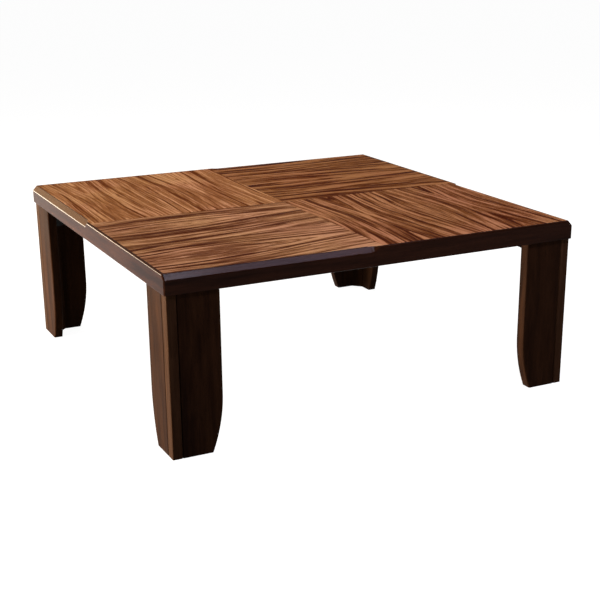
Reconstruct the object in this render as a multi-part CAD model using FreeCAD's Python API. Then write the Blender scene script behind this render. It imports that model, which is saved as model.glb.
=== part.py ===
import FreeCAD, Part
import math
import os

V = FreeCAD.Vector

# Folding low table. Millimetres, +Z up, origin on the floor under the middle of the top.
# The front is the -Y side and the left is the -X side.

# Overall sizes
top_width = 900.0            # along X
top_depth = 900.0            # along Y
top_thickness = 39.0
leg_height = 319.0
leg_inset = 4.0              # leg faces stand back from the edge of the top

# Top
corner_radius = 4.0          # vertical corners of the top
upper_edge_round = 3.2       # upper arris of the edge faces, along the bevels too
lower_edge_round = 1.5       # lower arris of the top
veneer_thickness = 0.6
face_board_thickness = 4.0
rail_width = 45.0
batten_width = 40.0
bevel_width = 10.0           # stopped bevel, measured on the upper face
bevel_drop = 11.0            # stopped bevel, measured on the edge face
bevel_stop_gap = 28.0        # from the middle of a side back to where the bevel starts to run out
bevel_bit_radius = 15.0      # smallest radius of the cutter that leaves the run-out

# Legs, an L of two wings about a corner post
post_width = 20.0            # along X, also the thickness of the side wing
post_depth = 24.0            # along Y, also the thickness of the end wing
wing_width = 104.5           # outer corner of the leg to the edge of a wing
foot_taper = 22.5            # how far a wing narrows at the floor
foot_taper_height = 115.0    # height at which the narrowing starts
wing_edge_round = 2.5
post_corner_round = 2.0
groove_depth = 2.4           # V groove between post and wing
groove_half_width = 1.6
corner_block_side = 25.0
corner_block_lift = 1.0      # corner block ends above the floor

# Hinge
plate_thickness = 2.3        # pressed steel of both brackets
pivot_drop = 11.0            # pivot axis below the underside of the top
wing_past_pivot = 6.0        # end wing inboard of the pivot axis
fold_clearance = 0.5         # turning corner of the end wing to the underside
cam_clearance = 1.2          # arm ends to the base plate
side_clearance = 0.4         # arms to cheeks
running_clearance = 0.05
channel_half_width = 14.0    # middle of the hinge to the outer face of an arm
bracket_height = 40.0
arm_knee = 14.0              # length of the deep part of an arm next to the side wing
base_plate_back = 24.0       # base plate length outboard of the pivot
base_plate_front = 46.0      # base plate length inboard of the pivot
base_plate_flange = 11.0     # base plate beside a cheek
plate_corner_round = 4.0     # corners of the base plate
cheek_radius = 8.0
cheek_half_root = 20.0       # half length of a cheek where it leaves the base plate
pin_radius = 3.0
pin_head_radius = 5.0
pin_head_height = 2.0

# Catch spring
leaf_thickness = 0.8
leaf_gap = 0.5               # leaf to the round end of the arms
leaf_tail = 8.0              # leaf below the pivot axis
leaf_foot = 22.0
leaf_edge_clearance = 0.4    # leaf to the cheeks
leaf_tail_clearance = 4.0    # leaf's end to the slope of a folded arm
nose_depth = 1.8
nose_clearance = 0.4
rivet_radius = 1.5
rivet_head_radius = 2.8
rivet_head_height = 1.2
rivet_spacing = 12.0

# Screws
screw_radius = 1.9
screw_head_radius = 3.8
screw_head_height = 2.4
base_screw_length = 16.0     # under the head
leg_screw_cover = 4.0        # wood left in front of a leg screw's point
recess_width = 1.0
recess_depth = 1.2
base_screw_edge = 9.0        # screw axis to the ends of the base plate
leg_screw_edge = 9.0         # screw axis to the upper and lower ends of the leg bracket
mount_block_margin = 15.0    # corner mount block past the base plate

# Derived places
half_width = top_width / 2
half_depth = top_depth / 2
top_height = leg_height + top_thickness
veneer_bottom = top_height - veneer_thickness
core_bottom = leg_height + face_board_thickness
core_top = veneer_bottom - face_board_thickness
inner_half_width = half_width - rail_width
inner_half_depth = half_depth - rail_width
past = 5.0                   # how far a cutting shape runs past the faces it cuts

# Leg frame: u runs inward from the side face, v inward from the end face, and z down from the underside
pivot_u = wing_width - wing_past_pivot
pivot_z = -pivot_drop
cam_radius = pivot_drop - plate_thickness - cam_clearance
hinge_v = (post_depth + corner_block_side + wing_width) / 2
cheek_inner = channel_half_width + side_clearance
cheek_outer = cheek_inner + plate_thickness
base_plate_half_width = cheek_outer + base_plate_flange
leaf_half_width = cheek_inner - leaf_edge_clearance
leaf_u = pivot_u + cam_radius + leaf_gap
notch_depth = nose_depth - leaf_gap + nose_clearance
bracket_top = pivot_z + cam_radius
bracket_bottom = bracket_top - bracket_height
base_plate_u0 = pivot_u - base_plate_back
base_plate_u1 = pivot_u + base_plate_front
leg_screw_length = plate_thickness + post_width - leg_screw_cover

CORNERS = {
    "front_left": (1, 1),
    "front_right": (-1, 1),
    "back_left": (1, -1),
    "back_right": (-1, -1),
}
SIDES = ("front", "right", "back", "left")


def box(x0, x1, y0, y1, z0, z1):
    return Part.makeBox(x1 - x0, y1 - y0, z1 - z0, V(x0, y0, z0))


def prism(points, direction):
    """Extrude a closed polygon."""
    wire = Part.makePolygon(points + [points[0]])
    return Part.Face(wire).extrude(direction)


def arc(start, middle, end):
    return Part.Arc(start, middle, end).toShape()


def line(start, end):
    return Part.makeLine(start, end)


def plate_from(edges, depth):
    """Extrude a closed outline that lies in a plane of constant v by a depth along v."""
    return Part.Face(Part.Wire(edges)).extrude(V(0, depth, 0))


def at_corner(shape, corner):
    """Move a shape from the leg frame to one corner of the table."""
    across, along = CORNERS[corner]
    placed = shape.translated(V(leg_inset - half_width, leg_inset - half_depth, leg_height))
    if across < 0:
        placed = placed.mirror(V(0, 0, 0), V(1, 0, 0))
    if along < 0:
        placed = placed.mirror(V(0, 0, 0), V(0, 1, 0))
    return placed


def at_all_corners(shapes):
    """Repeat the shapes of one corner at all four corners, as one group of solids."""
    solids = []
    for corner in CORNERS:
        for shape in shapes:
            solids.extend(at_corner(shape, corner).Solids)
    return Part.makeCompound(solids)


def side_length(side):
    return top_width if side in ("front", "back") else top_depth


def on_side(shape, side):
    """Turn a shape made for the front side, with its start at the origin, onto one side of the top."""
    starts = {
        "front": V(-half_width, -half_depth, 0),
        "right": V(half_width, -half_depth, 0),
        "back": V(half_width, half_depth, 0),
        "left": V(-half_width, half_depth, 0),
    }
    turned = shape.copy()
    turned.rotate(V(0, 0, 0), V(0, 0, 1), 90.0 * SIDES.index(side))
    turned.translate(starts[side])
    return turned


# Top

def bevel_cutter(length):
    """A bevel cutter along the first half of a side, with the round run-out of a router bit."""
    slope = bevel_drop / bevel_width
    stop = length / 2 - bevel_stop_gap
    low = top_height - bevel_drop - bevel_bit_radius * slope
    high = top_height + past * slope

    def section(s):
        return [
            V(s, -bevel_bit_radius, low),
            V(s, bevel_width + past, high),
            V(s, -bevel_bit_radius, high),
        ]

    straight = prism(section(-past), V(stop + past, 0, 0))
    outline = Part.makePolygon(section(stop) + section(stop)[:1])
    run_out = Part.Face(outline).revolve(V(stop, -bevel_bit_radius, 0), V(0, 0, 1), 360)
    return straight, run_out


def outer_arris(blank):
    """The upper edge of the upright faces, which dips under each bevel and rises again at its run-out."""
    edges = []
    for face in blank.Faces:
        u0, u1, v0, v1 = face.ParameterRange
        if abs(face.normalAt((u0 + u1) / 2, (v0 + v1) / 2).z) > 0.01:
            continue
        for edge in face.Edges:
            start, end = [v.Point for v in edge.Vertexes]
            run = math.hypot(end.x - start.x, end.y - start.y)
            if run > 1e-6 and max(start.z, end.z) > leg_height + past:
                edges.append(edge)
    return edges


def top_blank():
    """The whole top as one block: rounded corners and arrises, and a stopped bevel on half of each side."""
    blank = box(-half_width, half_width, -half_depth, half_depth, leg_height, top_height)
    upright = [e for e in blank.Edges if abs(e.Vertexes[0].Z - e.Vertexes[1].Z) > past]
    blank = blank.makeFillet(corner_radius, upright)
    for side in SIDES:
        for cutter in bevel_cutter(side_length(side)):
            blank = blank.cut(on_side(cutter, side))
    blank = blank.makeFillet(upper_edge_round, outer_arris(blank))
    lower = [e for e in blank.Edges if max(v.Z for v in e.Vertexes) < leg_height + past]
    return blank.makeFillet(lower_edge_round, lower)


def walnut_panels(blank):
    panels = {}
    for corner, (across, along) in CORNERS.items():
        x0, x1 = sorted((0, -across * (half_width + past)))
        y0, y1 = sorted((0, -along * (half_depth + past)))
        quarter = box(x0, x1, y0, y1, veneer_bottom, top_height + past)
        panels["walnut_panel_" + corner] = blank.common(quarter)
    return panels


def edge_rails(blank, screw_holes):
    rails = {}
    for side in SIDES:
        length = side_length(side)
        region = prism(
            [
                V(-past, -past, leg_height - past),
                V(length + past, -past, leg_height - past),
                V(length - rail_width, rail_width, leg_height - past),
                V(rail_width, rail_width, leg_height - past),
            ],
            V(0, 0, veneer_bottom - leg_height + past),
        )
        rails["edge_rail_" + side] = blank.common(on_side(region, side)).cut(screw_holes)
    return rails


def face_board(bottom):
    return box(
        -inner_half_width, inner_half_width, -inner_half_depth, inner_half_depth,
        bottom, bottom + face_board_thickness,
    )


def core_battens():
    """Three battens from the front rail to the back rail, evenly spaced."""
    battens = []
    for step in (-1, 0, 1):
        middle = step * inner_half_width / 2
        battens.append(box(
            middle - batten_width / 2, middle + batten_width / 2,
            -inner_half_depth, inner_half_depth, core_bottom, core_top,
        ))
    return Part.makeCompound(battens)


def corner_mount_block():
    """Solid block in the core, over one hinge, that takes the base screws."""
    u0 = rail_width - leg_inset
    return box(
        u0, base_plate_u1 + mount_block_margin,
        u0, hinge_v + base_plate_half_width + mount_block_margin,
        face_board_thickness, core_top - leg_height,
    )


# Legs

def wing_blank(start, outward, thickness):
    """A wing that starts at the post, runs outward from it and narrows in an arc towards the floor."""
    def place(reach, z):
        return outward * reach + V(0, 0, z)

    curve_z = foot_taper_height - leg_height
    radius = (foot_taper_height ** 2 + foot_taper ** 2) / (2 * foot_taper)
    half_angle = math.asin(foot_taper_height / radius) / 2
    middle = place(
        wing_width - radius * (1 - math.cos(half_angle)),
        curve_z - radius * math.sin(half_angle),
    )
    curve_start = place(wing_width, curve_z)
    curve_end = place(wing_width - foot_taper, -leg_height)
    outline = [
        line(place(start, 0), place(wing_width, 0)),
        line(place(wing_width, 0), curve_start),
        arc(curve_start, middle, curve_end),
        line(curve_end, place(start, -leg_height)),
        line(place(start, -leg_height), place(start, 0)),
    ]
    wing = Part.Face(Part.Wire(outline)).extrude(thickness)
    free_edge = []
    for edge in wing.Edges:
        ends = [v.Point for v in edge.Vertexes]
        narrowest = min(outward.dot(p) for p in ends)
        if narrowest > wing_width - foot_taper - 1e-6 and abs(ends[0].z - ends[1].z) > past:
            free_edge.append(edge)
    return wing.makeFillet(wing_edge_round, free_edge)


def groove_cutters():
    """The two V grooves where the wings meet the post."""
    height = V(0, 0, leg_height + 2 * past)
    low = -leg_height - past
    spread = groove_half_width * (groove_depth + past) / groove_depth
    end_groove = prism(
        [
            V(post_width, groove_depth, low),
            V(post_width - spread, -past, low),
            V(post_width + spread, -past, low),
        ],
        height,
    )
    side_groove = prism(
        [
            V(groove_depth, post_depth, low),
            V(-past, post_depth - spread, low),
            V(-past, post_depth + spread, low),
        ],
        height,
    )
    return end_groove.fuse(side_groove)


def corner_post(grooves):
    post = box(0, post_width, 0, post_depth, -leg_height, 0)
    outer = [e for e in post.Edges if abs(e.CenterOfMass.x) + abs(e.CenterOfMass.y) < 1e-6]
    return post.makeFillet(post_corner_round, outer).cut(grooves)


def end_wing(grooves):
    """Wing on the front or back side, its upper free corner cut round about the pivot so that it folds."""
    wing = wing_blank(post_width, V(1, 0, 0), V(0, post_depth, 0))
    corner = box(pivot_u, wing_width + past, -past, post_depth + past, pivot_z, past)
    keep = Part.makeCylinder(
        pivot_drop - fold_clearance, post_depth + 4 * past, V(pivot_u, -2 * past, pivot_z), V(0, 1, 0)
    )
    return wing.cut(corner.cut(keep)).cut(grooves)


def side_wing(grooves, screw_holes):
    wing = wing_blank(post_depth, V(0, 1, 0), V(post_width, 0, 0))
    return wing.cut(grooves).cut(screw_holes)


def corner_block():
    low = corner_block_lift - leg_height
    return prism(
        [
            V(post_width, post_depth, low),
            V(post_width + corner_block_side, post_depth, low),
            V(post_width, post_depth + corner_block_side, low),
        ],
        V(0, 0, -low),
    )


# Hinge

def pivot_hole():
    start = V(pivot_u, hinge_v - cheek_outer - past, pivot_z)
    return Part.makeCylinder(pin_radius + running_clearance, 2 * (cheek_outer + past), start, V(0, 1, 0))


def arm(v0):
    """One arm of the leg bracket: deep at the side wing, with a round end about the pivot."""
    points = [
        V(post_width, v0, bracket_top),
        V(pivot_u, v0, bracket_top),
        V(pivot_u, v0, pivot_z - cam_radius),
        V(pivot_u - leaf_tail - leaf_tail_clearance, v0, pivot_z - cam_radius),
        V(post_width + arm_knee, v0, bracket_bottom),
        V(post_width, v0, bracket_bottom),
    ]
    edges = [
        line(points[0], points[1]),
        arc(points[1], V(pivot_u + cam_radius, v0, pivot_z), points[2]),
        line(points[2], points[3]),
        line(points[3], points[4]),
        line(points[4], points[5]),
        line(points[5], points[0]),
    ]
    return plate_from(edges, plate_thickness)


def catch_notches():
    """V notches in the round arm ends: one holds the leg open and one holds it folded."""
    apex = pivot_u + cam_radius - notch_depth
    reach = notch_depth + past
    v0 = hinge_v - channel_half_width - past
    open_notch = prism(
        [
            V(apex, v0, pivot_z),
            V(apex + reach, v0, pivot_z + reach),
            V(apex + reach, v0, pivot_z - reach),
        ],
        V(0, 2 * (channel_half_width + past), 0),
    )
    folded_notch = open_notch.copy()
    folded_notch.rotate(V(pivot_u, 0, pivot_z), V(0, 1, 0), 90)
    return open_notch, folded_notch


def leg_bracket(screw_holes):
    back = box(
        post_width, post_width + plate_thickness, hinge_v - channel_half_width, hinge_v + channel_half_width,
        bracket_bottom, bracket_top,
    )
    bracket = back.fuse(arm(hinge_v - channel_half_width))
    bracket = bracket.fuse(arm(hinge_v + channel_half_width - plate_thickness))
    bracket = bracket.removeSplitter()
    for notch in catch_notches():
        bracket = bracket.cut(notch)
    return bracket.cut(pivot_hole()).cut(screw_holes)


def cheek(v0):
    """One down-turned cheek of the base bracket, round below the pivot."""
    root = -plate_thickness / 2
    points = [
        V(pivot_u - cheek_half_root, v0, root),
        V(pivot_u + cheek_half_root, v0, root),
        V(pivot_u + cheek_radius, v0, pivot_z),
        V(pivot_u - cheek_radius, v0, pivot_z),
    ]
    edges = [
        line(points[0], points[1]),
        line(points[1], points[2]),
        arc(points[2], V(pivot_u, v0, pivot_z - cheek_radius), points[3]),
        line(points[3], points[0]),
    ]
    return plate_from(edges, plate_thickness)


def base_bracket(screw_holes, rivet_holes):
    plate = box(
        base_plate_u0, base_plate_u1, hinge_v - base_plate_half_width, hinge_v + base_plate_half_width,
        -plate_thickness, 0,
    )
    upright = [e for e in plate.Edges if abs(e.Vertexes[0].Z - e.Vertexes[1].Z) > plate_thickness / 2]
    plate = plate.makeFillet(plate_corner_round, upright)
    bracket = plate.fuse(cheek(hinge_v - cheek_outer)).fuse(cheek(hinge_v + cheek_inner))
    bracket = bracket.removeSplitter()
    return bracket.cut(pivot_hole()).cut(screw_holes).cut(rivet_holes)


def pivot_pin():
    start = V(pivot_u, hinge_v - cheek_outer, pivot_z)
    pin = Part.makeCylinder(pin_radius, 2 * cheek_outer, start, V(0, 1, 0))
    for out in (-1, 1):
        seat = V(pivot_u, hinge_v + out * cheek_outer, pivot_z)
        crown = seat + V(0, out * pin_head_height, 0)
        head = Part.makeCylinder(pin_head_radius, pin_head_height, seat, V(0, out, 0))
        rim = [e for e in head.Edges if (e.CenterOfMass - crown).Length < 1e-6]
        pin = pin.fuse(head.makeFillet(pin_head_height / 2, rim))
    return pin.removeSplitter()


def catch_spring(rivet_holes):
    """Leaf spring: a foot under the base plate and a hanging leaf with a pressed V nose."""
    inner = leaf_u
    outer = leaf_u + leaf_thickness
    top = -plate_thickness
    low = pivot_z - leaf_tail
    v0 = hinge_v - leaf_half_width
    outline = [
        V(inner, v0, top),
        V(inner + leaf_foot, v0, top),
        V(inner + leaf_foot, v0, top - leaf_thickness),
        V(outer, v0, top - leaf_thickness),
        V(outer, v0, pivot_z + nose_depth),
        V(outer - nose_depth, v0, pivot_z),
        V(outer, v0, pivot_z - nose_depth),
        V(outer, v0, low),
        V(inner, v0, low),
        V(inner, v0, pivot_z - nose_depth),
        V(inner - nose_depth, v0, pivot_z),
        V(inner, v0, pivot_z + nose_depth),
    ]
    return prism(outline, V(0, 2 * leaf_half_width, 0)).cut(rivet_holes)


def rivet_places():
    middle = leaf_u + (leaf_foot + leaf_thickness) / 2
    return [V(middle, hinge_v + side * rivet_spacing / 2, 0) for side in (-1, 1)]


def rivet(place):
    depth = plate_thickness + leaf_thickness
    shank = Part.makeCylinder(rivet_radius, depth, place, V(0, 0, -1))
    head = Part.makeCylinder(rivet_head_radius, rivet_head_height, place + V(0, 0, -depth), V(0, 0, -1))
    crown = place + V(0, 0, -depth - rivet_head_height)
    rim = [e for e in head.Edges if (e.CenterOfMass - crown).Length < 1e-6]
    return shank.fuse(head.makeFillet(rivet_head_height / 2, rim)).removeSplitter()


# Screws

def screw(seat, drive, reach):
    """A round-head wood screw. seat is the point under the head and drive the way the shank points."""
    shank = Part.makeCylinder(screw_radius, reach, seat, drive)
    head = Part.makeCylinder(screw_head_radius, screw_head_height, seat, drive * -1)
    crown = seat - drive * screw_head_height
    rim = [e for e in head.Edges if (e.CenterOfMass - crown).Length < 1e-6]
    head = head.makeFillet(screw_head_height / 2, rim)
    turn = FreeCAD.Rotation(V(0, 0, 1), drive)
    for length, width in ((screw_head_radius, recess_width), (recess_width, screw_head_radius)):
        slot = box(-length / 2, length / 2, -width / 2, width / 2, -recess_depth, recess_depth)
        slot.Placement = FreeCAD.Placement(crown, turn)
        head = head.cut(slot)
    return shank.fuse(head).removeSplitter()


def screw_hole(seat, drive, reach):
    return Part.makeCylinder(screw_radius + running_clearance, reach + running_clearance, seat, drive)


def base_screw_seats():
    return [
        V(u, v, -plate_thickness)
        for u in (base_plate_u0 + base_screw_edge, base_plate_u1 - base_screw_edge)
        for v in (
            hinge_v - cheek_outer - base_plate_flange / 2,
            hinge_v + cheek_outer + base_plate_flange / 2,
        )
    ]


def leg_screw_seats():
    high = bracket_top - leg_screw_edge
    low = bracket_bottom + leg_screw_edge
    return [V(post_width + plate_thickness, hinge_v, z) for z in (high, (high + low) / 2, low)]


def group(shapes):
    return Part.makeCompound([solid for shape in shapes for solid in shape.Solids])


def build():
    up = V(0, 0, 1)
    outward = V(-1, 0, 0)
    base_screws = [screw(seat, up, base_screw_length) for seat in base_screw_seats()]
    base_holes = group([screw_hole(seat, up, base_screw_length) for seat in base_screw_seats()])
    leg_screws = [screw(seat, outward, leg_screw_length) for seat in leg_screw_seats()]
    leg_holes = group([screw_hole(seat, outward, leg_screw_length) for seat in leg_screw_seats()])
    rivet_holes = group([
        Part.makeCylinder(rivet_radius + running_clearance, 2 * past, place + V(0, 0, -past), up)
        for place in rivet_places()
    ])
    all_base_holes = at_all_corners([base_holes])
    grooves = groove_cutters()

    nodes = {}
    blank = top_blank()
    nodes.update(walnut_panels(blank))
    nodes["upper_face_board"] = face_board(core_top)
    nodes["lower_face_board"] = face_board(leg_height).cut(all_base_holes)
    nodes.update(edge_rails(blank, all_base_holes))
    nodes["core_battens"] = core_battens()
    nodes["corner_mount_blocks"] = at_all_corners([corner_mount_block().cut(base_holes)])
    nodes["base_bracket_screws"] = at_all_corners(base_screws)
    nodes["pivot_pins"] = at_all_corners([pivot_pin()])
    nodes["catch_rivets"] = at_all_corners([rivet(place) for place in rivet_places()])

    corner_shapes = {
        "base_bracket_{}": base_bracket(base_holes, rivet_holes),
        "catch_spring_{}": catch_spring(rivet_holes),
        "leg_{}_post": corner_post(grooves),
        "leg_{}_end_wing": end_wing(grooves),
        "leg_{}_side_wing": side_wing(grooves, leg_holes),
        "leg_{}_corner_block": corner_block(),
        "leg_{}_bracket": leg_bracket(leg_holes),
        "leg_{}_bracket_screws": group(leg_screws),
    }
    for pattern, shape in corner_shapes.items():
        for corner in CORNERS:
            nodes[pattern.format(corner)] = at_corner(shape, corner)
    return nodes


os.makedirs("parts", exist_ok=True)
for name, shape in build().items():
    shape.exportStep("parts/" + name + ".step")
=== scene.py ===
import math

import bpy
from mathutils import Matrix, Vector

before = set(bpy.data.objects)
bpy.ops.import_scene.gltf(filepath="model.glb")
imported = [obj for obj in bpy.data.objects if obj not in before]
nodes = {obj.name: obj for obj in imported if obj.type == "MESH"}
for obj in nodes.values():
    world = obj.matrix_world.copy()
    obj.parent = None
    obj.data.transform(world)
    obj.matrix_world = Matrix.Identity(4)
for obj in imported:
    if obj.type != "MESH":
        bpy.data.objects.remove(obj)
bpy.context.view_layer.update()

scene = bpy.context.scene
scene.view_settings.view_transform = "Standard"
bpy.ops.object.select_all(action="DESELECT")

corners = ("front_left", "front_right", "back_left", "back_right")


# Camera
def place_camera():
    turn = math.radians(26.5995)
    tilt = math.radians(18.7203)
    lean = math.radians(-0.4108)
    picture_width = 600.0
    bpy.ops.object.camera_add(location=(-1.1414, -2.4060, 0.9342))
    camera = bpy.context.object
    camera.name = "table_camera"
    facing = Matrix.Rotation(-turn, 3, "Z")
    tilted = Matrix.Rotation(math.pi / 2 - tilt, 3, "X")
    leaned = Matrix.Rotation(lean, 3, "Z")
    camera.rotation_euler = (facing @ tilted @ leaned).to_euler()
    camera.data.sensor_width = 36.0
    camera.data.lens = 72.797
    camera.data.shift_x = -10.0 / picture_width
    camera.data.shift_y = 40.0 / picture_width
    camera.data.clip_end = 200.0
    scene.camera = camera


# Light: name, place, aim, width, height, power and colour of each lamp
lamps = (
    ("left_softbox", (-1.60, 0.50, 2.40), (0.0, 0.0, 0.30), 2.0, 1.6, 46.0, (1.0, 0.91, 0.81)),
    ("low_left_strip", (-2.60, 0.60, 0.19), (0.3, -0.4, 0.19), 1.4, 0.3, 16.0, (1.0, 0.93, 0.85)),
    ("middle_left_strip", (-2.90, 0.36, 0.19), (0.2, -0.10, 0.19), 0.3, 0.3, 175.0, (1.0, 0.90, 0.78)),
    ("low_front_strip", (0.10, -3.20, 0.19), (-0.1, 0.0, 0.19), 1.4, 0.3, 4.5, (1.0, 0.96, 1.0)),
    ("back_left_strip", (-1.47, 2.60, 0.40), (-0.45, 0.0, 0.35), 0.95, 0.7, 66.0, (1.0, 0.84, 0.64)),
    ("back_left_card", (-1.05, 2.70, 0.96), (-0.45, 0.2, 0.35), 1.2, 0.45, 7.5, (1.0, 0.66, 0.36)),
    ("overhead_strip", (0.70, -1.19, 2.20), (0.66, -0.45, 0.35), 1.0, 0.2, 18.0, (0.87, 0.74, 1.0)),
    ("corner_card", (0.24, -1.19, 2.20), (-0.44, -0.45, 0.35), 0.3, 0.2, 6.0, (0.86, 0.86, 1.0)),
    ("back_top_softbox", (0.40, 1.30, 2.20), (0.1, 0.0, 0.35), 1.2, 1.0, 14.0, (1.0, 0.94, 0.88)),
)


def hang_lamp(name, place, aim, width, height, power, colour):
    bpy.ops.object.light_add(type="AREA", location=place)
    lamp = bpy.context.object
    lamp.name = name
    lamp.data.shape = "RECTANGLE"
    lamp.data.size = width
    lamp.data.size_y = height
    lamp.data.energy = power
    lamp.data.color = colour
    towards = Vector(aim) - Vector(place)
    lamp.rotation_euler = towards.to_track_quat("-Z", "Y").to_euler()


def light_studio():
    for lamp in lamps:
        hang_lamp(*lamp)
    world = bpy.data.worlds.new("studio_air")
    world.use_nodes = True
    air = world.node_tree.nodes["Background"]
    air.inputs["Color"].default_value = (0.95, 0.97, 1.0, 1.0)
    air.inputs["Strength"].default_value = 0.05
    scene.world = world


# Node helpers
def add_node(tree, kind, **values):
    node = tree.nodes.new(kind)
    for name, value in values.items():
        setattr(node, name, value)
    return node


def feed(tree, node, socket, value):
    if isinstance(value, bpy.types.NodeSocket):
        tree.links.new(value, node.inputs[socket])
    else:
        node.inputs[socket].default_value = value


def maths(tree, operation, first, second=None, third=None):
    node = add_node(tree, "ShaderNodeMath", operation=operation)
    feed(tree, node, 0, first)
    if second is not None:
        feed(tree, node, 1, second)
    if third is not None:
        feed(tree, node, 2, third)
    return node.outputs[0]


def spread(tree, value, low, high, new_low=0.0, new_high=1.0):
    node = add_node(tree, "ShaderNodeMapRange", interpolation_type="SMOOTHSTEP")
    feed(tree, node, "Value", value)
    feed(tree, node, "From Min", low)
    feed(tree, node, "From Max", high)
    feed(tree, node, "To Min", new_low)
    feed(tree, node, "To Max", new_high)
    return node.outputs["Result"]


def join(tree, x, y, z):
    node = add_node(tree, "ShaderNodeCombineXYZ")
    feed(tree, node, "X", x)
    feed(tree, node, "Y", y)
    feed(tree, node, "Z", z)
    return node.outputs["Vector"]


def noise(tree, vector, scale, detail, roughness=0.5):
    node = add_node(tree, "ShaderNodeTexNoise")
    feed(tree, node, "Vector", vector)
    feed(tree, node, "Scale", scale)
    feed(tree, node, "Detail", detail)
    feed(tree, node, "Roughness", roughness)
    return node.outputs["Fac"]


def line_noise(tree, place, scale, detail):
    node = add_node(tree, "ShaderNodeTexNoise", noise_dimensions="1D")
    feed(tree, node, "W", place)
    feed(tree, node, "Scale", scale)
    feed(tree, node, "Detail", detail)
    return node.outputs["Fac"]


def ramp(tree, value, *stops):
    node = add_node(tree, "ShaderNodeValToRGB")
    elements = node.color_ramp.elements
    while len(elements) < len(stops):
        elements.new(0.5)
    for element, stop in zip(elements, stops):
        element.position = stop[0]
        element.color = (*stop[1], 1.0)
    feed(tree, node, "Fac", value)
    return node.outputs["Color"]


def blend_colour(tree, amount, first, second, kind="MIX"):
    node = add_node(tree, "ShaderNodeMix", data_type="RGBA", blend_type=kind)
    feed(tree, node, "Factor", amount)
    for socket, value in ((node.inputs[6], first), (node.inputs[7], second)):
        if isinstance(value, bpy.types.NodeSocket):
            tree.links.new(value, socket)
        else:
            socket.default_value = (*value, 1.0)
    return node.outputs[2]


def new_group(name, values, results):
    tree = bpy.data.node_groups.new(name, "ShaderNodeTree")
    tree.interface.new_socket("Vector", in_out="INPUT", socket_type="NodeSocketVector")
    for value in values:
        tree.interface.new_socket(value, in_out="INPUT", socket_type="NodeSocketFloat")
    for result in results:
        tree.interface.new_socket(result, in_out="OUTPUT", socket_type="NodeSocketFloat")
    entry = tree.nodes.new("NodeGroupInput")
    leave = tree.nodes.new("NodeGroupOutput")
    return tree, entry.outputs, leave.inputs


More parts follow.
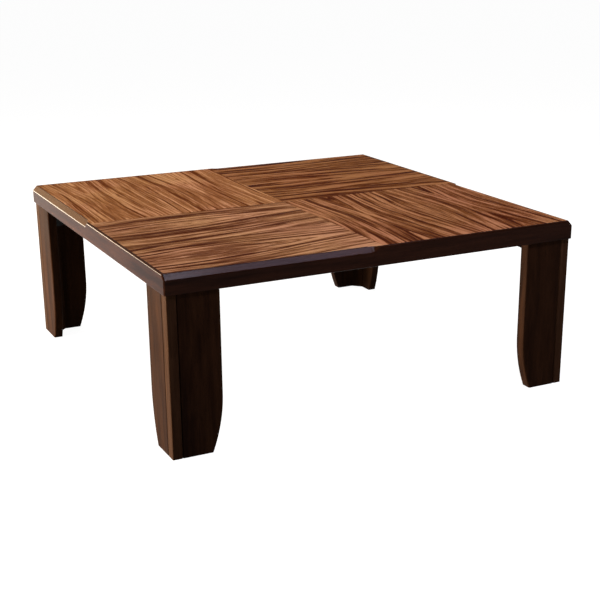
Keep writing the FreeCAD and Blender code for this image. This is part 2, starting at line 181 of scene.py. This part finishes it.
# Sliced walnut: slip matched leaves with pointed eyes and long straight rings
def make_walnut_figure():
    tree, given, result = new_group(
        "walnut_figure",
        ("Leaf Width", "Eye Along", "Eye Across", "Lean", "Taper", "Ring Count", "Line Density", "Seed"),
        ("Rings", "Streaks", "Dark Lines", "Broad", "Pores", "Leaf Seam"),
    )
    leaf_step = 0.10
    drift_reach = 0.024
    waver_reach = 0.005
    eye_round = 0.005
    eye_length = 0.06
    ring_jitter = 2.6
    parts = add_node(tree, "ShaderNodeSeparateXYZ")
    feed(tree, parts, "Vector", given["Vector"])
    along = parts.outputs["X"]
    across = parts.outputs["Y"]
    leaf = maths(tree, "FLOOR", maths(tree, "DIVIDE", across, given["Leaf Width"]))
    in_leaf = maths(tree, "FLOORED_MODULO", across, given["Leaf Width"])
    sheet = maths(tree, "MULTIPLY_ADD", leaf, leaf_step, given["Seed"])

    drift_place = join(tree, along, maths(tree, "MULTIPLY", in_leaf, 5.0), sheet)
    drift = maths(tree, "SUBTRACT", noise(tree, drift_place, scale=3.2, detail=2.0), 0.5)
    waver = maths(tree, "SUBTRACT", noise(tree, drift_place, scale=11.0, detail=1.0), 0.5)
    run = maths(tree, "SUBTRACT", along, given["Eye Along"])
    sideways = maths(tree, "SUBTRACT", in_leaf, given["Eye Across"])
    sideways = maths(tree, "MULTIPLY_ADD", run, given["Lean"], sideways)
    sideways = maths(tree, "MULTIPLY_ADD", drift, drift_reach, sideways)
    sideways = maths(tree, "MULTIPLY_ADD", waver, waver_reach, sideways)
    rounded = maths(tree, "MULTIPLY_ADD", sideways, sideways, eye_round ** 2)
    side = maths(tree, "SQRT", rounded)
    square = maths(tree, "MULTIPLY_ADD", run, run, eye_length ** 2)
    reach = maths(tree, "SUBTRACT", maths(tree, "SQRT", square), eye_length)
    ring = maths(tree, "MULTIPLY_ADD", reach, given["Taper"], side)

    uneven = line_noise(tree, ring, scale=24.0, detail=1.0)
    phase = maths(tree, "MULTIPLY", ring, given["Ring Count"])
    phase = maths(tree, "MULTIPLY_ADD", uneven, ring_jitter, phase)
    phase = maths(tree, "FRACT", maths(tree, "ADD", phase, given["Seed"]))
    rise = maths(tree, "POWER", phase, 4.0)
    fall = spread(tree, phase, 0.90, 1.0, 1.0, 0.0)
    late_wood = maths(tree, "MULTIPLY", rise, fall)
    strong = line_noise(tree, ring, scale=15.0, detail=2.0)
    strong = spread(tree, strong, 0.36, 0.62, 0.25, 1.0)
    patchy = noise(tree, drift_place, scale=7.0, detail=3.0)
    patchy = spread(tree, patchy, 0.36, 0.62, 0.25, 1.0)
    late_wood = maths(tree, "MULTIPLY", late_wood, strong)
    late_wood = maths(tree, "MULTIPLY", late_wood, patchy)

    long_way = maths(tree, "MULTIPLY", along, 0.40)
    streak_place = join(tree, long_way, maths(tree, "MULTIPLY", ring, given["Line Density"]), sheet)
    streaks = noise(tree, streak_place, scale=9.0, detail=4.0, roughness=0.82)
    seeded_ring = maths(tree, "ADD", ring, given["Seed"])
    dark_lines = line_noise(tree, seeded_ring, scale=64.0, detail=1.0)
    dark_lines = spread(tree, dark_lines, 0.57, 0.66)
    line_place = join(tree, along, maths(tree, "MULTIPLY", in_leaf, 9.0), sheet)
    kept = spread(tree, noise(tree, line_place, scale=4.2, detail=2.0), 0.42, 0.56)
    dark_lines = maths(tree, "MULTIPLY", dark_lines, kept)
    broad_place = join(tree, along, maths(tree, "MULTIPLY", ring, 9.0), sheet)
    broad = noise(tree, broad_place, scale=3.0, detail=2.0)
    pore_place = join(tree, along, maths(tree, "MULTIPLY", in_leaf, 26.0), sheet)
    pores = spread(tree, noise(tree, pore_place, scale=62.0, detail=2.0), 0.58, 0.70)
    near_seam = maths(tree, "SUBTRACT", given["Leaf Width"], in_leaf)
    seam = spread(tree, near_seam, 0.0003, 0.0008, 1.0, 0.0)

    tree.links.new(late_wood, result["Rings"])
    tree.links.new(streaks, result["Streaks"])
    tree.links.new(dark_lines, result["Dark Lines"])
    tree.links.new(broad, result["Broad"])
    tree.links.new(pores, result["Pores"])
    tree.links.new(seam, result["Leaf Seam"])
    return tree


# Straight grained stained wood
def make_straight_grain():
    tree, given, result = new_group(
        "straight_grain",
        ("Fineness", "Seed"),
        ("Streaks", "Pores", "Broad"),
    )
    bend_reach = 0.5
    pore_narrow = 22.0
    parts = add_node(tree, "ShaderNodeSeparateXYZ")
    feed(tree, parts, "Vector", given["Vector"])
    along = maths(tree, "ADD", parts.outputs["X"], given["Seed"])
    first = maths(tree, "MULTIPLY", parts.outputs["Y"], given["Fineness"])
    second = maths(tree, "MULTIPLY", parts.outputs["Z"], given["Fineness"])
    bend_place = join(tree, along, parts.outputs["Y"], parts.outputs["Z"])
    bend = maths(tree, "SUBTRACT", noise(tree, bend_place, scale=6.0, detail=2.0), 0.5)
    first = maths(tree, "MULTIPLY_ADD", bend, bend_reach, first)
    streak_place = join(tree, along, first, second)
    streaks = noise(tree, streak_place, scale=6.0, detail=5.0, roughness=0.6)
    broad = noise(tree, streak_place, scale=1.4, detail=2.0)
    pore_first = maths(tree, "MULTIPLY", parts.outputs["Y"], pore_narrow)
    pore_second = maths(tree, "MULTIPLY", parts.outputs["Z"], pore_narrow)
    pore_place = join(tree, along, pore_first, pore_second)
    pores = spread(tree, noise(tree, pore_place, scale=60.0, detail=2.0), 0.57, 0.70)
    tree.links.new(streaks, result["Streaks"])
    tree.links.new(pores, result["Pores"])
    tree.links.new(broad, result["Broad"])
    return tree


# Hand marks and dull patches that change the gloss
def make_handling():
    tree, given, result = new_group("handling", ("Patch Scale",), ("Dull", "Rub"))
    dull = noise(tree, given["Vector"], given["Patch Scale"], detail=3.0)
    dull = spread(tree, dull, 0.35, 0.70)
    fine_scale = maths(tree, "MULTIPLY", given["Patch Scale"], 22.0)
    rub = noise(tree, given["Vector"], fine_scale, detail=4.0, roughness=0.65)
    tree.links.new(dull, result["Dull"])
    tree.links.new(rub, result["Rub"])
    return tree


def start_material(name):
    material = bpy.data.materials.new(name)
    material.use_nodes = True
    tree = material.node_tree
    surface = tree.nodes["Principled BSDF"]
    place = add_node(tree, "ShaderNodeTexCoord").outputs["Object"]
    return material, tree, surface, place


def turned(tree, place, shift, turn):
    node = add_node(tree, "ShaderNodeMapping")
    feed(tree, node, "Vector", place)
    feed(tree, node, "Location", shift)
    feed(tree, node, "Rotation", turn)
    return node.outputs["Vector"]


def use_group(tree, group, vector, **values):
    node = add_node(tree, "ShaderNodeGroup", node_tree=group)
    feed(tree, node, "Vector", vector)
    for name, value in values.items():
        feed(tree, node, name.replace("_", " ").title(), value)
    return node.outputs


def roughen(tree, surface, height, strength, distance):
    bump = add_node(tree, "ShaderNodeBump")
    feed(tree, bump, "Height", height)
    feed(tree, bump, "Strength", strength)
    feed(tree, bump, "Distance", distance)
    tree.links.new(bump.outputs["Normal"], surface.inputs["Normal"])


# Dark lacquer that runs over the arris onto the veneer, and the dark line along the bevel
def edge_stain(tree, place, bevel):
    arris_start = 0.4442
    arris_end = 0.4452
    line_start = 0.4386
    line_end = 0.4394
    bevel_start = 0.030
    bevel_full = 0.034
    parts = add_node(tree, "ShaderNodeSeparateXYZ")
    feed(tree, parts, "Vector", place)
    from_middle_x = maths(tree, "ABSOLUTE", parts.outputs["X"])
    from_middle_y = maths(tree, "ABSOLUTE", parts.outputs["Y"])
    out = maths(tree, "MAXIMUM", from_middle_x, from_middle_y)
    arris = spread(tree, out, arris_start, arris_end)
    towards = from_middle_x if bevel == "X" else from_middle_y
    along = from_middle_y if bevel == "X" else from_middle_x
    line = spread(tree, towards, line_start, line_end)
    started = spread(tree, along, bevel_start, bevel_full)
    line = maths(tree, "MULTIPLY", line, started)
    return maths(tree, "MAXIMUM", arris, line)


# Walnut panels: where the grain lies, how the figure runs, and the light, middle and dark tones
quarter = math.pi / 2
veneer_panels = {
    "front_left": {
        "turn": 0.0, "shift": (0.45, 0.484, 0.0), "bevel": "Y",
        "eye": (0.11, 0.142), "lean": -0.06, "taper": 0.11,
        "rings": 46.0, "lines": 12.0, "seed": 3.1, "contrast": 1.50,
        "light": (0.540, 0.282, 0.150), "middle": (0.232, 0.0945, 0.0375), "dark": (0.058, 0.009, 0.001),
    },
    "back_right": {
        "turn": 0.0, "shift": (0.0, 0.172, 0.0), "bevel": "Y",
        "eye": (0.095, 0.12), "lean": 0.02, "taper": 0.10,
        "rings": 36.0, "lines": 8.0, "seed": 7.7, "contrast": 1.60,
        "light": (0.370, 0.163, 0.070), "middle": (0.150, 0.0440, 0.0085), "dark": (0.050, 0.006, 0.001),
    },
    "back_left": {
        "turn": quarter, "shift": (0.45, 0.484, 0.0), "bevel": "X",
        "eye": (0.24, 0.122), "lean": 0.0, "taper": -0.05,
        "rings": 110.0, "lines": 19.0, "seed": 12.4, "contrast": 1.10,
        "light": (0.575, 0.292, 0.150), "middle": (0.290, 0.1130, 0.0395), "dark": (0.118, 0.028, 0.004),
    },
    "front_right": {
        "turn": quarter, "shift": (0.0, 0.0, 0.0), "bevel": "X",
        "eye": (0.19, 0.10), "lean": 0.0, "taper": -0.09,
        "rings": 66.0, "lines": 16.0, "seed": 18.9, "contrast": 1.45,
        "light": (0.455, 0.210, 0.106), "middle": (0.190, 0.0630, 0.0175), "dark": (0.058, 0.009, 0.001),
    },
}


def walnut_panel(name, groups, turn, shift, bevel, eye, lean, taper, rings, lines, seed, contrast,
                 light, middle, dark):
    mean_tone = 0.40
    yellow_cast = (1.0, 1.03, 0.86)
    red_cast = (1.0, 0.97, 0.97)
    edge_brown = (0.030, 0.013, 0.009)
    material, tree, surface, place = start_material(name)
    grain_place = turned(tree, place, shift, (0.0, 0.0, turn))
    figure = use_group(
        tree, groups["walnut_figure"], grain_place, leaf_width=0.242,
        eye_along=eye[0], eye_across=eye[1], lean=lean, taper=taper,
        ring_count=rings, line_density=lines, seed=seed,
    )
    hands = use_group(tree, groups["handling"], place, patch_scale=5.0)
    tone = maths(tree, "MULTIPLY_ADD", figure["Streaks"], 3.10, -1.702)
    tone = maths(tree, "MULTIPLY_ADD", figure["Broad"], 0.95, tone)
    tone = maths(tree, "MULTIPLY_ADD", figure["Rings"], 0.90, tone)
    tone = maths(tree, "MULTIPLY_ADD", tone, contrast, mean_tone - mean_tone * contrast)
    tone = maths(tree, "MULTIPLY_ADD", figure["Dark Lines"], 0.80, tone)
    colour = ramp(tree, tone, (0.0, light), (0.45, middle), (1.0, dark))
    hue = blend_colour(tree, hands["Dull"], yellow_cast, red_cast)
    colour = blend_colour(tree, 1.0, colour, hue, "MULTIPLY")
    pore_dark = maths(tree, "MULTIPLY", figure["Pores"], 0.45)
    colour = blend_colour(tree, pore_dark, colour, dark)
    seam_dark = maths(tree, "MULTIPLY", figure["Leaf Seam"], 0.5)
    colour = blend_colour(tree, seam_dark, colour, dark)
    stain = edge_stain(tree, place, bevel)
    colour = blend_colour(tree, stain, colour, edge_brown)
    tree.links.new(colour, surface.inputs["Base Color"])
    gloss = maths(tree, "MULTIPLY_ADD", hands["Dull"], 0.08, 0.36)
    gloss = maths(tree, "MULTIPLY_ADD", figure["Pores"], 0.15, gloss)
    tree.links.new(gloss, surface.inputs["Roughness"])
    surface.inputs["Specular IOR Level"].default_value = 0.014
    relief = maths(tree, "MULTIPLY_ADD", figure["Pores"], -0.55, figure["Rings"])
    relief = maths(tree, "MULTIPLY_ADD", figure["Streaks"], 0.5, relief)
    roughen(tree, surface, relief, strength=0.6, distance=0.0009)
    return material


# Stained and lacquered solid wood
def stained_wood(name, groups, turn, seed, fineness, light, dark, gloss, specular, depth):
    material, tree, surface, place = start_material(name)
    grain_place = turned(tree, place, (0.0, 0.0, 0.0), turn)
    grain = use_group(tree, groups["straight_grain"], grain_place, fineness=fineness, seed=seed)
    hands = use_group(tree, groups["handling"], place, patch_scale=7.0)
    tone = maths(tree, "MULTIPLY_ADD", grain["Broad"], 0.55, -0.10)
    tone = maths(tree, "MULTIPLY_ADD", grain["Streaks"], 0.65, tone)
    colour = ramp(tree, tone, (0.32, light), (0.68, dark))
    pore_dark = maths(tree, "MULTIPLY", grain["Pores"], 0.60)
    colour = blend_colour(tree, pore_dark, colour, dark)
    tree.links.new(colour, surface.inputs["Base Color"])
    shine = maths(tree, "MULTIPLY_ADD", hands["Dull"], 0.16 * gloss, gloss)
    shine = maths(tree, "MULTIPLY_ADD", hands["Rub"], 0.06 * gloss, shine)
    tree.links.new(shine, surface.inputs["Roughness"])
    surface.inputs["Specular IOR Level"].default_value = specular
    relief = maths(tree, "MULTIPLY_ADD", grain["Pores"], -0.6, grain["Streaks"])
    roughen(tree, surface, relief, strength=depth, distance=0.0003)
    return material


# Plated steel
def plated_steel(name, groups, light, dark, gloss, patch):
    material, tree, surface, place = start_material(name)
    hands = use_group(tree, groups["handling"], place, patch_scale=patch)
    tone = maths(tree, "MULTIPLY_ADD", hands["Dull"], 0.5, hands["Rub"])
    colour = ramp(tree, tone, (0.35, light), (0.95, dark))
    tree.links.new(colour, surface.inputs["Base Color"])
    surface.inputs["Metallic"].default_value = 1.0
    shine = maths(tree, "MULTIPLY_ADD", hands["Rub"], 0.22, gloss)
    tree.links.new(shine, surface.inputs["Roughness"])
    roughen(tree, surface, hands["Rub"], strength=0.12, distance=0.0002)
    return material


# Floor
def lay_floor():
    rim_height = 2.0
    paper_grey = (0.25, 0.25, 0.25, 1.0)
    bpy.ops.mesh.primitive_cylinder_add(
        vertices=96, radius=30.0, depth=rim_height, location=(0.0, 0.0, rim_height / 2),
    )
    floor = bpy.context.object
    floor.name = "paper_floor"
    bpy.ops.object.mode_set(mode="EDIT")
    bpy.ops.mesh.select_all(action="DESELECT")
    bpy.ops.object.mode_set(mode="OBJECT")
    for face in floor.data.polygons:
        face.select = face.normal.z > 0.9
    bpy.ops.object.mode_set(mode="EDIT")
    bpy.ops.mesh.delete(type="FACE")
    bpy.ops.mesh.select_all(action="SELECT")
    bpy.ops.mesh.flip_normals()
    bpy.ops.object.mode_set(mode="OBJECT")
    material = bpy.data.materials.new("white_paper_floor")
    material.use_nodes = True
    tree = material.node_tree
    tree.nodes.remove(tree.nodes["Principled BSDF"])
    path = add_node(tree, "ShaderNodeLightPath")
    seen = maths(tree, "MAXIMUM", path.outputs["Is Camera Ray"], path.outputs["Is Glossy Ray"])
    seen = maths(tree, "MAXIMUM", seen, path.outputs["Is Transmission Ray"])
    paper = add_node(tree, "ShaderNodeBsdfDiffuse")
    paper.inputs["Color"].default_value = paper_grey
    glow = add_node(tree, "ShaderNodeEmission")
    glow.inputs["Strength"].default_value = 0.965
    white = add_node(tree, "ShaderNodeAddShader")
    tree.links.new(paper.outputs[0], white.inputs[0])
    tree.links.new(glow.outputs[0], white.inputs[1])
    choose = add_node(tree, "ShaderNodeMixShader")
    tree.links.new(seen, choose.inputs[0])
    tree.links.new(paper.outputs[0], choose.inputs[1])
    tree.links.new(white.outputs[0], choose.inputs[2])
    clear = add_node(tree, "ShaderNodeBsdfTransparent")
    under = add_node(tree, "ShaderNodeNewGeometry")
    one_way = add_node(tree, "ShaderNodeMixShader")
    tree.links.new(under.outputs["Backfacing"], one_way.inputs[0])
    tree.links.new(choose.outputs[0], one_way.inputs[1])
    tree.links.new(clear.outputs[0], one_way.inputs[2])
    tree.links.new(one_way.outputs[0], tree.nodes["Material Output"].inputs["Surface"])
    floor.data.materials.append(material)


def finish_node(name, material):
    nodes[name].material_slots[0].material = material


def finish_table():
    groups = {
        "walnut_figure": make_walnut_figure(),
        "straight_grain": make_straight_grain(),
        "handling": make_handling(),
    }
    lengthways = (0.0, 0.0, 0.0)
    crossways = (0.0, 0.0, quarter)
    upright = (0.0, quarter, 0.0)
    for corner, look in veneer_panels.items():
        panel = walnut_panel(f"walnut_{corner}", groups, **look)
        finish_node(f"walnut_panel_{corner}", panel)
    lacquer = {
        "light": (0.048, 0.0160, 0.0070), "dark": (0.0130, 0.0039, 0.0018),
        "fineness": 16.0, "gloss": 0.15, "specular": 0.024, "depth": 0.006,
    }
    along_x = stained_wood("edge_lacquer_front_back", groups, lengthways, 0.3, **lacquer)
    along_y = stained_wood("edge_lacquer_sides", groups, crossways, 1.9, **lacquer)
    finish_node("edge_rail_front", along_x)
    finish_node("edge_rail_back", along_x)
    finish_node("edge_rail_left", along_y)
    finish_node("edge_rail_right", along_y)
    post_stain = {
        "light": (0.080, 0.0370, 0.0175), "dark": (0.024, 0.0104, 0.0045),
        "fineness": 20.0, "gloss": 0.52, "specular": 0.013, "depth": 0.35,
    }
    wing_stain = {
        "light": (0.0435, 0.0176, 0.0076), "dark": (0.0093, 0.0037, 0.0018),
        "fineness": 14.0, "gloss": 0.52, "specular": 0.013, "depth": 0.35,
    }
    block_stain = dict(wing_stain, fineness=12.0, gloss=0.58)
    board_stain = {
        "light": (0.14, 0.075, 0.042), "dark": (0.05, 0.024, 0.013),
        "fineness": 10.0, "gloss": 0.55, "specular": 0.2, "depth": 0.35,
    }
    raw_pine = {
        "light": (0.55, 0.36, 0.19), "dark": (0.36, 0.20, 0.09),
        "fineness": 9.0, "gloss": 0.6, "specular": 0.3, "depth": 0.35,
    }
    post = stained_wood("leg_post_wood", groups, upright, 4.4, **post_stain)
    end_wing = stained_wood("leg_end_wing_wood", groups, upright, 6.1, **wing_stain)
    side_wing = stained_wood("leg_side_wing_wood", groups, upright, 8.6, **wing_stain)
    block = stained_wood("leg_block_wood", groups, upright, 2.2, **block_stain)
    board = stained_wood("face_board_wood", groups, lengthways, 5.5, **board_stain)
    core = stained_wood("core_pine", groups, crossways, 9.5, **raw_pine)
    # Brackets hidden under the top: their near-black colour is painted shade, standing in for the shade
    # there; the steel's real finish is not known.
    bracket = plated_steel(
        "bracket_steel_shade_black", groups, light=(0.014, 0.0135, 0.013), dark=(0.006, 0.006, 0.006),
        gloss=0.34, patch=30.0,
    )
    spring = plated_steel(
        "spring_blued_steel", groups, light=(0.16, 0.16, 0.18), dark=(0.06, 0.065, 0.085),
        gloss=0.20, patch=60.0,
    )
    fastener = plated_steel(
        "fastener_zinc", groups, light=(0.66, 0.64, 0.58), dark=(0.34, 0.33, 0.31),
        gloss=0.20, patch=120.0,
    )
    finish_node("upper_face_board", board)
    finish_node("lower_face_board", board)
    finish_node("core_battens", core)
    finish_node("corner_mount_blocks", core)
    for name in ("base_bracket_screws", "pivot_pins", "catch_rivets"):
        finish_node(name, fastener)
    for corner in corners:
        finish_node(f"leg_{corner}_post", post)
        finish_node(f"leg_{corner}_end_wing", end_wing)
        finish_node(f"leg_{corner}_side_wing", side_wing)
        finish_node(f"leg_{corner}_corner_block", block)
        finish_node(f"leg_{corner}_bracket", bracket)
        finish_node(f"leg_{corner}_bracket_screws", fastener)
        finish_node(f"base_bracket_{corner}", bracket)
        finish_node(f"catch_spring_{corner}", spring)


place_camera()
light_studio()
lay_floor()
finish_table()
